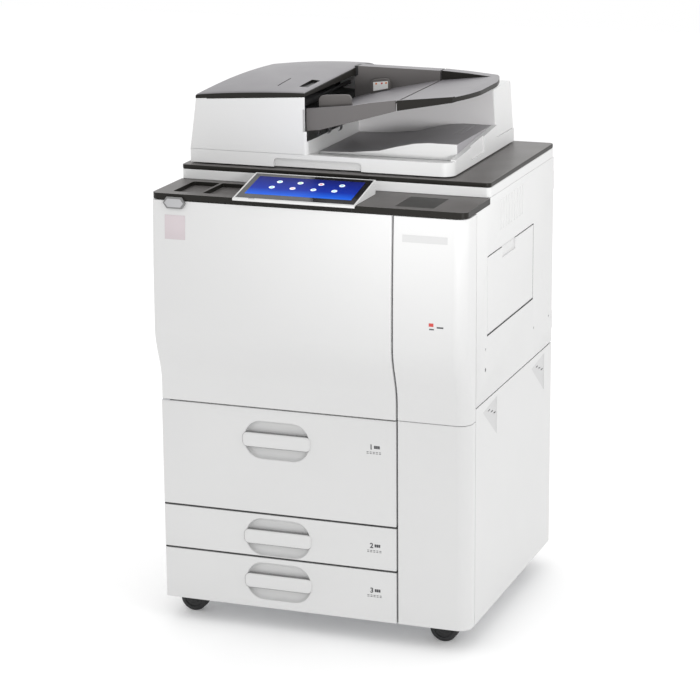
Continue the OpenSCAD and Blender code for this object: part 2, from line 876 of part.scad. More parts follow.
module document_tray() {
    x0 = feed_x1 - 8;
    wall_y = rear_y - 0.3;
    color("dimgray") lid_shift() {
        // Paper surface
        along_y(-139, wall_y) polygon([[x0, table(x0)], [0, table(0)], [tray_x1, table(tray_x1)],
            [tray_x1, table(tray_x1) - 5], [0, table(0) - 5], [x0, table(x0) - 5]]);
        // Front skirt
        along_y(-139, -134) polygon([[x0, 80.5], [x0, 128], [-41, 131], [31, 139], [71, 147], [tray_x1, 155],
            [tray_x1, 132], [59, 112], [16, 100], [-41, 84]]);
        // Rear wall and rail
        along_y(wall_y - skin, wall_y) polygon([[x0, table(x0) - 5], [0, table(0) - 5],
            [tray_x1, table(tray_x1) - 5], [tray_x1, 173], [x0 + 8, 175], [x0 + 8, 155], [x0, 150]]);
        along_y(wall_y - 0.7, rear_y + 30) polygon([[x0 + 8, 137.3], [x0 + 8, 175], [tray_x1, 173],
            [tray_x1, 137.3]]);
    }
}

// Plan of the flap: straight at the seam, bowed at the free end
module flap_plan() {
    intersection() {
        translate([tray_x1 + 3.5, -139]) square([150, rear_y + 30 + 139]);
        translate([-150, 25]) circle(r = 434, $fn = 200);
        rounded([0, -139], [290, rear_y + 30], 18);
    }
}

module tray_flap() {
    x0 = tray_x1 + 3.5;
    color("dimgray") lid_shift() intersection() {
        translate([0, 0, 100]) linear_extrude(100) flap_plan();
        union() {
            along_y(-140, rear_y - 0.3) polygon([[x0, 133], [x0, 152], [257, 167], [290, 167], [290, 157],
                [257, 157]]);
            along_y(-140, -131)
                polygon([[x0, 133], [x0, 155], [257, 169], [290, 169], [290, 157], [257, 157]]);
            along_y(rear_y - 1, rear_y + 31) polygon([[x0, 138], [x0, 173], [186, 170], [256, 164],
                [290, 160], [290, 157], [257, 157]]);
        }
    }
}

// ---- Feed cover ----

// Height of the cover's edge line, and of its crowned top, at u (left to right) and w (front to back)
function back_fall(w) = w < 0.78 ? w / 0.78 : 1 - 1.4 * pow((w - 0.78) / 0.22, 2);
function edge_z(u, w) = 149 + 15 * u + 9 * u * back_fall(w);
function dome_z(u, w) = edge_z(u, w)
    + pow(sin(180 * pow(u, 0.85)), 0.7) * (3 + crown * pow(sin(180 * w), 0.6))
    + 5 * (1 - u) * sin(180 * w);

module dome(inset, lower, n) {
    w = cover_x1 - cover_x0 - 2 * inset;
    d = lid_d - 2 * inset - 4;
    top = [for (j = [0 : n], i = [0 : n])
        [cover_x0 + inset + w * i / n, lid_y0 + 1 + inset + d * j / n, dome_z(i / n, j / n) - lower]];
    base = [for (j = [0 : n], i = [0 : n])
        [cover_x0 + inset + w * i / n, lid_y0 + 1 + inset + d * j / n,
            edge_z(i / n, 0) - 9 + (lower > 0 ? -30 : 0)]];
    k = (n + 1) * (n + 1);
    function at(i, j) = j * (n + 1) + i;
    polyhedron(points = concat(top, base), faces = concat(
        [for (j = [0 : n - 1], i = [0 : n - 1], t = [0, 1]) t == 0
            ? [at(i, j), at(i, j + 1), at(i + 1, j + 1)] : [at(i, j), at(i + 1, j + 1), at(i + 1, j)]],
        [for (j = [0 : n - 1], i = [0 : n - 1], t = [0, 1]) t == 0
            ? [k + at(i, j), k + at(i + 1, j + 1), k + at(i, j + 1)]
            : [k + at(i, j), k + at(i + 1, j), k + at(i + 1, j + 1)]],
        [for (i = [0 : n - 1]) [at(i, 0), at(i + 1, 0), k + at(i + 1, 0), k + at(i, 0)]],
        [for (i = [0 : n - 1]) [at(i + 1, n), at(i, n), k + at(i, n), k + at(i + 1, n)]],
        [for (j = [0 : n - 1]) [at(0, j + 1), at(0, j), k + at(0, j), k + at(0, j + 1)]],
        [for (j = [0 : n - 1]) [at(n, j), at(n, j + 1), k + at(n, j + 1), k + at(n, j)]]), convexity = 6);
}

latch_y = [-101, -24];
latch_z = 163;

module feed_cover() {
    color("dimgray") lid_shift() difference() {
        union() {
            difference() {
                dome(0, 0, 14);
                dome(3, 3, 14);
            }
            intersection() {
                dome(0, 0, 14);
                block([-103, latch_y[0] - 2, 157], [-80, latch_y[1] + 2, 200]);
            }
        }
        block([-101, latch_y[0], 159], [-82, latch_y[1], 200]);
        rod_y(-97.5, latch_z, 1.55, latch_y[0] - 1.5, latch_y[1] + 1.5);
    }
}

module latch_lever() {
    color("black") lid_shift() {
        rod_y(-97.5, latch_z, 1.5, latch_y[0] - 1, latch_y[1] + 1);
        block([-98.5, latch_y[0] + 1.5, latch_z - 1.5], [-83.5, latch_y[1] - 1.5, latch_z + 1.5]);
    }
}

// ---- Document guides ----

module guide(x0, x1, y, top) {
    along_y(y - 3, y + 3) polygon([[x0, table(x0) + 0.8], [0, table(0) + 0.8], [x1, table(x1) + 0.8],
        [x1, top - 8],
        [x1 - 5, top - 1], [x1 - 14, top], [x0 + 14, top - 3], [x0 + 5, top - 5], [x0, top - 12]]);
}

module guide_front() {
    color("gray") lid_shift() guide(-53, 21, -109, 157);
}

module guide_rear() {
    color("gray") lid_shift() guide(-26, 20, 141, 154);
}

base_frame();
left_cover();
right_lower_cover();
rear_cover();
column_upper();
column_lower();
deck();
inner_cover();
drum_unit();
fuser_unit();
toner_bottle();
scanner_housing();
top_plate();
platen_glass();
slit_glass();
scan_rail();
scan_carriage();
mains_inlet();
front_door();
right_door();
bypass_liner();
bypass_tray();
bypass_extension();
bypass_guide_front();
bypass_guide_rear();
drawer_1_front();
drawer_1_tray();
drawer_1_plate();
drawer_2_front();
drawer_2_tray();
drawer_2_plate();
drawer_3_front();
drawer_3_tray();
drawer_3_plate();
caster_fork_1();
caster_fork_2();
caster_fork_3();
caster_fork_4();
caster_wheel_1();
caster_wheel_2();
caster_wheel_3();
caster_wheel_4();
panel_housing();
panel_glass();
power_key();
lid_hinge_brackets();
lid_hinge_knuckles();
lid_base();
platen_pad();
feeder_body();
rear_housing();
exit_tray();
exit_stopper();
document_tray();
tray_flap();
feed_cover();
latch_lever();
guide_front();
guide_rear();
feeder_rollers();
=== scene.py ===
import json
import math

import bmesh
import bpy
from mathutils import Matrix, Vector


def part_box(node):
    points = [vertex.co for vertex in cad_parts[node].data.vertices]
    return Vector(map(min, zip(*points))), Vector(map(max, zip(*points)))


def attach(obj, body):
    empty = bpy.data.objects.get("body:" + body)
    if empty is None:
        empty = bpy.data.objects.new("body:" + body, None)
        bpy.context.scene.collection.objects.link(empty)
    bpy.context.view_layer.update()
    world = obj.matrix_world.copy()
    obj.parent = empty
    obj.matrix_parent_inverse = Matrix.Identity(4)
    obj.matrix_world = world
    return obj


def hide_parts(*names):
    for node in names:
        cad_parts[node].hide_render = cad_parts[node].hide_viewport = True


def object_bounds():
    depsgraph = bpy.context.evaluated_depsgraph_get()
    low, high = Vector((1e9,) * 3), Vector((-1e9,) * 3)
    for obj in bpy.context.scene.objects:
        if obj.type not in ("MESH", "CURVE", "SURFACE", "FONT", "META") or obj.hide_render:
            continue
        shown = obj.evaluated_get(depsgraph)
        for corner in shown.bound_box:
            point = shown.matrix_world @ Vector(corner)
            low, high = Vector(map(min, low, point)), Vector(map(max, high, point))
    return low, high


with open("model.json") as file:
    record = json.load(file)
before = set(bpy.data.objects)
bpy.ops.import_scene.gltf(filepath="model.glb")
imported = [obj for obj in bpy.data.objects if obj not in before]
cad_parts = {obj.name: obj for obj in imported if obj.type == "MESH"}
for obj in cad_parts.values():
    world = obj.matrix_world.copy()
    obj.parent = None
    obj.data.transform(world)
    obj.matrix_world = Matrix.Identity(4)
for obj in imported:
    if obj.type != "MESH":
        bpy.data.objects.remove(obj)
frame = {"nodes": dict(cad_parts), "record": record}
CAD_BOX = [list(corner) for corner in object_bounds()]

MM = 0.001
NODES = frame["nodes"]
RECORD = frame["record"]
BODY_OF = {n: b for b, names in RECORD["behaviour"]["bodies"].items() for n in names}
SLOT_OF = {s["node"]: s["material_slot"] for s in RECORD["subparts"]}


# ---------------------------------------------------------------- materials

class Shader:
    """A Principled material with helpers for its procedural nodes."""

    def __init__(self, name):
        self.material = bpy.data.materials.new(name)
        self.material.use_nodes = True
        self.tree = self.material.node_tree
        self.principled = self.tree.nodes["Principled BSDF"]
        self.coords = self.node("ShaderNodeTexCoord").outputs["Object"]

    def node(self, kind, **inputs):
        node = self.tree.nodes.new(kind)
        for key, value in inputs.items():
            node.inputs[key].default_value = value
        return node

    def link(self, a, b):
        self.tree.links.new(a, b)

    def noise(self, scale, detail=3.0, roughness=0.55, stretch=None):
        node = self.node("ShaderNodeTexNoise", Scale=scale, Detail=detail, Roughness=roughness)
        if stretch:
            mapping = self.node("ShaderNodeMapping")
            mapping.inputs["Scale"].default_value = stretch
            self.link(self.coords, mapping.inputs["Vector"])
            self.link(mapping.outputs["Vector"], node.inputs["Vector"])
        else:
            self.link(self.coords, node.inputs["Vector"])
        return node.outputs["Fac"]

    def ramp(self, source, stops):
        node = self.node("ShaderNodeValToRGB")
        ramp = node.color_ramp
        while len(ramp.elements) < len(stops):
            ramp.elements.new(0.5)
        for element, (at, colour) in zip(ramp.elements, stops):
            element.position = at
            element.color = (*colour, 1.0)
        self.link(source, node.inputs["Fac"])
        return node.outputs["Color"]

    def range(self, source, low, high):
        node = self.node("ShaderNodeMapRange")
        node.inputs["To Min"].default_value = low
        node.inputs["To Max"].default_value = high
        self.link(source, node.inputs["Value"])
        return node.outputs["Result"]

    def bump(self, height, strength, distance):
        node = self.node("ShaderNodeBump", Strength=strength, Distance=distance)
        self.link(height, node.inputs["Height"])
        self.link(node.outputs["Normal"], self.principled.inputs["Normal"])

    def set(self, **values):
        for key, value in values.items():
            self.principled.inputs[key.replace("_", " ")].default_value = value
        return self


def shade(colour, factor):
    return tuple(min(1.0, c * factor) for c in colour)


def moulded_plastic(name, colour, rough, grain=900.0, vary=0.03, shine=0.45):
    """Spark-eroded moulded plastic: fine grain, faint flow marks in its colour and sheen."""
    s = Shader(name)
    flow = s.noise(3.0, 2.0)
    s.link(s.ramp(flow, [(0.3, shade(colour, 1 - vary)), (0.7, shade(colour, 1 + vary))]),
           s.principled.inputs["Base Color"])
    s.link(s.range(s.noise(14.0, 4.0), rough - 0.05, rough + 0.05), s.principled.inputs["Roughness"])
    s.bump(s.noise(grain, 2.0, 0.6), 0.35, 0.00006)
    return s.set(Specular_IOR_Level=shine).material


def sheet_metal(name, colour, rough, stretch):
    """Rolled or turned metal with fine lines along one direction."""
    s = Shader(name)
    lines = s.noise(60.0, 6.0, 0.7, stretch)
    s.link(s.ramp(lines, [(0.25, shade(colour, 0.86)), (0.75, shade(colour, 1.1))]),
           s.principled.inputs["Base Color"])
    s.link(s.range(s.noise(9.0, 3.0), rough - 0.06, rough + 0.1), s.principled.inputs["Roughness"])
    s.bump(lines, 0.2, 0.0001)
    return s.set(Metallic=1.0).material


def clear_glass(name):
    """Float glass with a faint green tint."""
    s = Shader(name)
    s.link(s.ramp(s.noise(5.0), [(0.3, (0.78, 0.88, 0.86)), (0.7, (0.82, 0.92, 0.9))]),
           s.principled.inputs["Base Color"])
    s.link(s.range(s.noise(30.0), 0.02, 0.05), s.principled.inputs["Roughness"])
    return s.set(IOR=1.5, Alpha=0.35, Coat_Weight=0.5).material


def gloss(name, colour, rough=0.12, coat=0.6):
    """Polished plastic or coated glass, with faint smears."""
    s = Shader(name)
    s.link(s.ramp(s.noise(6.0), [(0.3, shade(colour, 0.9)), (0.7, shade(colour, 1.12))]),
           s.principled.inputs["Base Color"])
    s.link(s.range(s.noise(25.0, 5.0), rough - 0.03, rough + 0.06), s.principled.inputs["Roughness"])
    return s.set(Coat_Weight=coat, Coat_Roughness=0.05).material


def tread_rubber(name, colour):
    """Matt black rubber with a fine grain."""
    s = Shader(name)
    s.link(s.ramp(s.noise(40.0, 4.0), [(0.3, shade(colour, 0.8)), (0.7, shade(colour, 1.4))]),
           s.principled.inputs["Base Color"])
    s.link(s.range(s.noise(70.0), 0.55, 0.75), s.principled.inputs["Roughness"])
    s.bump(s.noise(500.0, 3.0), 0.4, 0.0001)
    return s.material


WHITE = (0.67, 0.67, 0.668)
DARK = (0.1, 0.093, 0.09)
MATERIAL = {
    "covers": moulded_plastic("cover_white", WHITE, 0.42, vary=0.008),
    "frame_steel": sheet_metal("galvanised_steel", (0.62, 0.63, 0.65), 0.36, (1, 1, 12)),
    "dark_trim": moulded_plastic("umber_gray", DARK, 0.42, vary=0.06),
    "tray_gray": moulded_plastic("warm_gray", (0.3, 0.29, 0.305), 0.45, vary=0.03),
    "cassette": moulded_plastic("cassette_gray", (0.3, 0.31, 0.32), 0.5, vary=0.05),
    "black_plastic": moulded_plastic("black_moulding", (0.022, 0.022, 0.023), 0.45, vary=0.15),
    "glass": clear_glass("float_glass"),
    "screen": gloss("panel_black", (0.012, 0.012, 0.014)),
    "engine_dark": moulded_plastic("engine_gray", (0.07, 0.08, 0.09), 0.5, vary=0.1),
    "inner_cover": moulded_plastic("inner_gray", (0.62, 0.63, 0.62), 0.5, vary=0.02),
    "pad_white": moulded_plastic("pad_white", (0.86, 0.86, 0.85), 0.35, grain=300.0, vary=0.01),
    "rubber": tread_rubber("wheel_rubber", (0.02, 0.02, 0.021)),
    "toner": moulded_plastic("toner_gray", (0.09, 0.09, 0.1), 0.38, vary=0.08),
    "silver_plastic": gloss("silver_gray", (0.42, 0.42, 0.43), 0.25, 0.3),
}
EXTRA = {
    # dark_edge: near black, for the sides of the dark parts as painted shade beside the painted sheen on
    # their tops; also the colour of the card plate and of the panel's hinge knuckles
    "dark_edge": moulded_plastic("umber_edge", (0.014, 0.013, 0.011), 0.4, vary=0.08, shine=0.2),
    "skirt": moulded_plastic("skirt_gray", (0.12, 0.113, 0.111), 0.42, vary=0.05),
    # sheen_top: a lighter grey on the top faces of the feed cover, document tray and flap, painted sheen of
    # the studio light at grazing angles
    "sheen_top": moulded_plastic("painted_sheen_gray", (0.2, 0.192, 0.205), 0.42, vary=0.03),
    "seam": moulded_plastic("seam_shadow", (0.03, 0.03, 0.03), 0.6, vary=0.1),
    # faint: a pale grey for the name plate, the bypass marks and the feeder seam, also painted shade on the
    # floor of the louvre recess
    "faint": moulded_plastic("faint_print_and_shade", (0.57, 0.57, 0.57), 0.4, vary=0.03),
    "print": moulded_plastic("gray_print", (0.06, 0.06, 0.065), 0.5, vary=0.06),
    "window": gloss("smoked_window", (0.56, 0.5, 0.52), 0.2, 0.4),
    "wall": moulded_plastic("shaded_gray", (0.66, 0.65, 0.655), 0.5, vary=0.03),
    # outline: a mid grey for the badge rim and the side dots, also the painted shadow round each grip
    "outline": moulded_plastic("outline_and_shadow_gray", (0.2, 0.2, 0.2), 0.5, vary=0.04),
    "label": moulded_plastic("label_white", (0.75, 0.75, 0.74), 0.45, vary=0.02),
    "red": moulded_plastic("signal_red", (0.55, 0.06, 0.05), 0.45, vary=0.05),
    "orange": moulded_plastic("signal_orange", (0.65, 0.2, 0.04), 0.45, vary=0.05),
}


# ---------------------------------------------------------------- mesh tools

def link_object(name, data):
    obj = bpy.data.objects.new(name, data)
    bpy.context.scene.collection.objects.link(obj)
    return obj


def object_from(name, bm):
    bmesh.ops.recalc_face_normals(bm, faces=bm.faces)
    mesh = bpy.data.meshes.new(name)
    bm.to_mesh(mesh)
    bm.free()
    return link_object(name, mesh)


def bake_modifiers(obj):
    """Applies the object's modifiers to its mesh."""
    bpy.context.view_layer.update()
    done = obj.evaluated_get(bpy.context.evaluated_depsgraph_get())
    mesh = bpy.data.meshes.new_from_object(done)
    mesh.name = obj.name
    obj.modifiers.clear()
    obj.data = mesh
    return obj


def smooth(obj, degrees=32.0):
    """Smooth shading, with edges sharper than the angle kept crisp."""
    mesh = obj.data
    mesh.shade_smooth()
    bm = bmesh.new()
    bm.from_mesh(mesh)
    limit = math.radians(degrees)
    for edge in bm.edges:
        edge.smooth = len(edge.link_faces) == 2 and edge.calc_face_angle(0.0) < limit
    bm.to_mesh(mesh)
    bm.free()
    return obj


def round_edges(obj, width, degrees=28.0):
    """Rounds every edge sharper than the angle, and shades the result smoothly."""
    bm = bmesh.new()
    bm.from_mesh(obj.data)
    bmesh.ops.remove_doubles(bm, verts=bm.verts, dist=0.00002)
    bmesh.ops.dissolve_limit(bm, angle_limit=math.radians(0.6), verts=bm.verts, edges=bm.edges)
    bm.to_mesh(obj.data)
    bm.free()
    bevel = obj.modifiers.new("bevel", "BEVEL")
    bevel.width = width
    bevel.segments = 2
    bevel.limit_method = "ANGLE"
    bevel.angle_limit = math.radians(degrees)
    bevel.use_clamp_overlap = True
    bevel.harden_normals = False
    obj.data.shade_smooth()
    weighted = obj.modifiers.new("weighted", "WEIGHTED_NORMAL")
    weighted.keep_sharp = True
    bake_modifiers(obj)
    return obj


def dress(obj, slot, body, *replaced):
    """Gives a new piece its material, its body and the CAD nodes that it stands for."""
    if not obj.data.materials:
        obj.data.materials.append(MATERIAL[slot])
    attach(obj, body)
    if replaced:
        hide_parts(*replaced)
    return obj


def rounded_copy(node, width):
    """A copy of a CAD node whose edges are rounded as moulded or bent edges are."""
    source = NODES[node]
    mesh = source.data.copy()
    mesh.materials.clear()
    obj = link_object(node + "_shell", mesh)
    round_edges(obj, width)
    return dress(obj, SLOT_OF[node], BODY_OF[node], node)


# ---------------------------------------------------------------- camera, floor, light

CAMERA_AT = (1.843, -5.107, 2.011)
CAMERA_TURN, CAMERA_TIP, CAMERA_ROLL = (math.radians(a) for a in (20.12, 14.99, -0.444))
SENSOR, LENS, VIEW_END = 36.0, 131.43, 60.0
FLOOR_SIZE = 9.0
# Area lights: name, place, size and power
LAMPS = (
    ("key", (3.6, -1.6, 3.2), 2.4, 24.0),
    ("fill", (-3.2, -2.8, 2.2), 3.0, 5.0),
    ("top", (0.2, 0.6, 4.2), 2.8, 5.0),
    ("back", (-0.5, 3.6, 2.6), 3.0, 12.0),
)
# A narrow light into the shaded space between the document tray and the exit tray
EXIT_LAMP_AT, EXIT_LAMP_AIM = (1.9, -3.6, 1.16), (0.12, -0.05, 1.07)
EXIT_LAMP_POWER, EXIT_LAMP_ANGLE, EXIT_LAMP_RADIUS = 330.0, math.radians(13), 0.25


def place_lamp(light, at, aim):
    lamp = link_object(light.name, light)
    lamp.location = at
    lamp.rotation_euler = (Vector(at) - Vector(aim)).to_track_quat("Z", "Y").to_euler()


def set_stage():
    """Camera, pale floor, world and lights."""
    camera_data = bpy.data.cameras.new("camera")
    camera_data.sensor_width = SENSOR
    camera_data.lens = LENS
    camera_data.clip_end = VIEW_END
    camera = link_object("camera", camera_data)
    camera.matrix_world = (Matrix.Translation(CAMERA_AT)
                           @ Matrix.Rotation(CAMERA_TURN, 4, "Z")
                           @ Matrix.Rotation(math.radians(90) - CAMERA_TIP, 4, "X")
                           @ Matrix.Rotation(CAMERA_ROLL, 4, "Z"))
    bpy.context.scene.camera = camera

    bm = bmesh.new()
    bmesh.ops.create_grid(bm, x_segments=8, y_segments=8, size=FLOOR_SIZE)
    floor = object_from("floor", bm)
    s = Shader("pale_floor")
    s.link(s.ramp(s.noise(1.5), [(0.3, (0.9, 0.9, 0.9)), (0.7, (0.93, 0.93, 0.93))]),
           s.principled.inputs["Base Color"])
    s.principled.inputs["Emission Color"].default_value = (1.0, 1.0, 1.0, 1.0)
    s.set(Roughness=0.85, Emission_Strength=0.12)
    floor.data.materials.append(s.material)

    bpy.context.scene.view_settings.view_transform = "Standard"
    world = bpy.data.worlds.new("studio")
    bpy.context.scene.world = world
    world.use_nodes = True
    background = world.node_tree.nodes["Background"]
    background.inputs["Color"].default_value = (1.0, 1.0, 1.0, 1.0)
    background.inputs["Strength"].default_value = 1.0

    middle = (Vector(CAD_BOX[0]) + Vector(CAD_BOX[1])) / 2
    for name, at, size, power in LAMPS:
        light = bpy.data.lights.new(name, "AREA")
        light.energy = power
        light.size = size
        place_lamp(light, at, middle)

    light = bpy.data.lights.new("exit_light", "SPOT")
    light.energy = EXIT_LAMP_POWER
    light.spot_size = EXIT_LAMP_ANGLE
    light.spot_blend = 1.0
    light.shadow_soft_size = EXIT_LAMP_RADIUS
    place_lamp(light, EXIT_LAMP_AT, EXIT_LAMP_AIM)


set_stage()


# ---------------------------------------------------------------- lofts

def rounded_ring(cx, cz, half_w, half_h, radius, y, steps=8):
    """Points of a rounded rectangle in a plane of constant Y, anticlockwise from the front."""
    points = []
    for sx, sz, start in ((1, 1, 0), (-1, 1, 90), (-1, -1, 180), (1, -1, 270)):
        for i in range(steps + 1):
            a = math.radians(start + 90.0 * i / steps)
            points.append(Vector((cx + sx * (half_w - radius) + radius * math.cos(a), y,
                                  cz + sz * (half_h - radius) + radius * math.sin(a))))
    return points


def loft(name, rings):
    """A closed solid through rings of equally many points, with flat ends."""
    bm = bmesh.new()
    rows = [[bm.verts.new(p) for p in ring] for ring in rings]
    for low, high in zip(rows, rows[1:]):
        for i in range(len(low)):
            k = (i + 1) % len(low)
            bm.faces.new((low[i], low[k], high[k], high[i]))
    bm.faces.new(rows[0])
    bm.faces.new(list(reversed(rows[-1])))
    return object_from(name, bm)


def cut(obj, cutter):
    """Subtracts a closed cutter, which is then deleted."""
    boolean = obj.modifiers.new("cut", "BOOLEAN")
    boolean.operation = "DIFFERENCE"
    boolean.solver = "EXACT"
    boolean.object = cutter
    bake_modifiers(obj)
    bpy.data.objects.remove(cutter)
    return obj


def block(name, low, high, width):
    """A box, with its edges rounded where a width is given."""
    bm = bmesh.new()
    bmesh.ops.create_cube(bm, size=1.0)
    low, high = Vector(low), Vector(high)
    for v in bm.verts:
        v.co = Vector([(low[i] + high[i]) / 2 + v.co[i] * (high[i] - low[i]) for i in range(3)])
    obj = object_from(name, bm)
    if width:
        round_edges(obj, width)
    return obj


def join(name, pieces):
    """Several meshes as one object."""
    bm = bmesh.new()
    for piece in pieces:
        piece.data.transform(piece.matrix_world)
        bm.from_mesh(piece.data)
        bpy.data.objects.remove(piece)
    mesh = bpy.data.meshes.new(name)
    bm.to_mesh(mesh)
    bm.free()
    return link_object(name, mesh)


# ---------------------------------------------------------------- drawer fronts

RECESS = {"half_w": 0.0725, "half_h": 0.041, "radius": 0.037, "depth": 0.0128, "lip": 0.003,
          "floor": 0.009}
GRIP = {"x": -0.082, "half_w": 0.0765, "half_h": 0.0148, "radius": 0.0095}
GRIP_BOW = {"lower": 0.0042, "upper": 0.0012}
# Height of each grip above its drawer front's lower edge
GRIP_RISE = {1: 0.162, 2: 0.043, 3: 0.060}
# How far the grips stand out of the drawer fronts
GRIP_PROUD = 0.004
# A thin dark line of painted shadow shows round the left end and lower edge of each grip, where the proud bar
# shades the dish
GRIP_SHADOW = {"grow": 0.0011, "shift": (-0.0006, 0, -0.0005)}
NUMERAL = {"size": 0.0155, "from_right": 0.059, "above_grip": 0.004}
PRINT_PROUD = 0.0002


def dish_profile(depth, lip, floor):
    """(outward offset, depth) pairs from a rolled lip to a rounded floor."""
    pairs = [(lip, -0.001), (lip, 0.0)]
    for a in (22, 45, 67, 90):
        t = math.radians(a)
        pairs.append((lip * (1 - math.sin(t)), lip * (1 - math.cos(t))))
    for a in range(0, 91, 15):
        t = math.radians(a)
        pairs.append((-floor * (1 - math.cos(t)), depth - floor + floor * math.sin(t)))
    return pairs


def finger_dish(name, z, front):
    """Cutter for a rounded recess behind the grip."""
    rings = [rounded_ring(GRIP["x"], z, RECESS["half_w"] + off, RECESS["half_h"] + off,
                          RECESS["radius"] + off, front + y)
             for off, y in dish_profile(RECESS["depth"], RECESS["lip"], RECESS["floor"])]
    return loft(name, rings)


def grip_bar(name, z, front, grow=0.0):
    """The arched bar: both long edges bow downwards, and its face is crowned."""
    rows = [(0.0, 0.006), (0.0, -0.0005), (-0.0004, -0.0018), (-0.0014, -0.0030),
            (-0.0032, -0.0037), (-0.0060, -GRIP_PROUD)]
    rings = []
    for off, y in rows:
        off += grow
        ring = rounded_ring(GRIP["x"], z, GRIP["half_w"] + off, GRIP["half_h"] + off,
                            GRIP["radius"] + off, front + y + 2 * grow, 6)
        for p in ring:
            u = (p.x - GRIP["x"]) / GRIP["half_w"]
            bow = -GRIP_BOW["lower"] if p.z < z else GRIP_BOW["upper"]
            p.z += bow * (1 - u * u)
        rings.append(ring)
    return smooth(loft(name, rings), 40)


def drawer_front(number):
    """A drawer's front plate with its finger dish, grip and numeral."""
    node, body = f"drawer_{number}_front", f"drawer_{number}"
    low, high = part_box(node)
    front = low.y + GRIP_PROUD
    z = low.z + GRIP_RISE[number]
    panel = block(node + "_panel", (low.x, front, low.z), (high.x, high.y, high.z), 0.0014)
    cut(panel, finger_dish("dish", z, front))
    smooth(panel, 30)
    dress(panel, "covers", body, node)
    dress(grip_bar(body + "_grip", z, front), "covers", body)
    # Painted shadow: a slightly larger copy of the grip, shifted left and down, in mid grey behind the bar
    line = grip_bar(body + "_grip_shadow", z, front, GRIP_SHADOW["grow"])
    line.data.transform(Matrix.Translation(GRIP_SHADOW["shift"]))
    dress(paint(line, EXTRA["outline"]), "covers", body)
    numeral(number, high.x - NUMERAL["from_right"], z + NUMERAL["above_grip"], front)


def numeral(number, x, z, front):
    """A plain printed numeral, three bars beside it, and two rows of short dashes under it."""
    curve = bpy.data.curves.new(f"numeral_{number}", "FONT")
    curve.body = str(number)
    curve.size = NUMERAL["size"]
    curve.extrude = 0.0001
    curve.offset = 0.0004
    text = link_object(f"numeral_{number}", curve)
    text.rotation_euler = (math.radians(90), 0, 0)
    text.location = (x, front - 0.00012, z)
    bpy.context.view_layer.update()
    mesh = bpy.data.meshes.new_from_object(text.evaluated_get(bpy.context.evaluated_depsgraph_get()))
    printed = link_object(f"drawer_{number}_numeral", mesh)
    printed.matrix_world = text.matrix_world.copy()
    bpy.data.objects.remove(text)

    def dash(x0, x1, z0, z1):
        return block("dash", (x + x0, front - PRINT_PROUD, z + z0),
                     (x + x1, front + PRINT_PROUD, z + z1), 0)

    bars = [dash(0.0105 + 0.0044 * i, 0.0143 + 0.0044 * i, 0.002, 0.0085) for i in range(3)]
    rows = [dash(-0.006 + 0.0068 * i, -0.0015 + 0.0068 * i, -0.0095 + 0.0032 * k, -0.0083 + 0.0032 * k)
            for i in range(5) for k in range(2)]
    marks = join(f"drawer_{number}_marks", [printed] + bars + rows)
    dress(paint(marks, EXTRA["print"]), "tray_gray", f"drawer_{number}")


# ---------------------------------------------------------------- feed cover

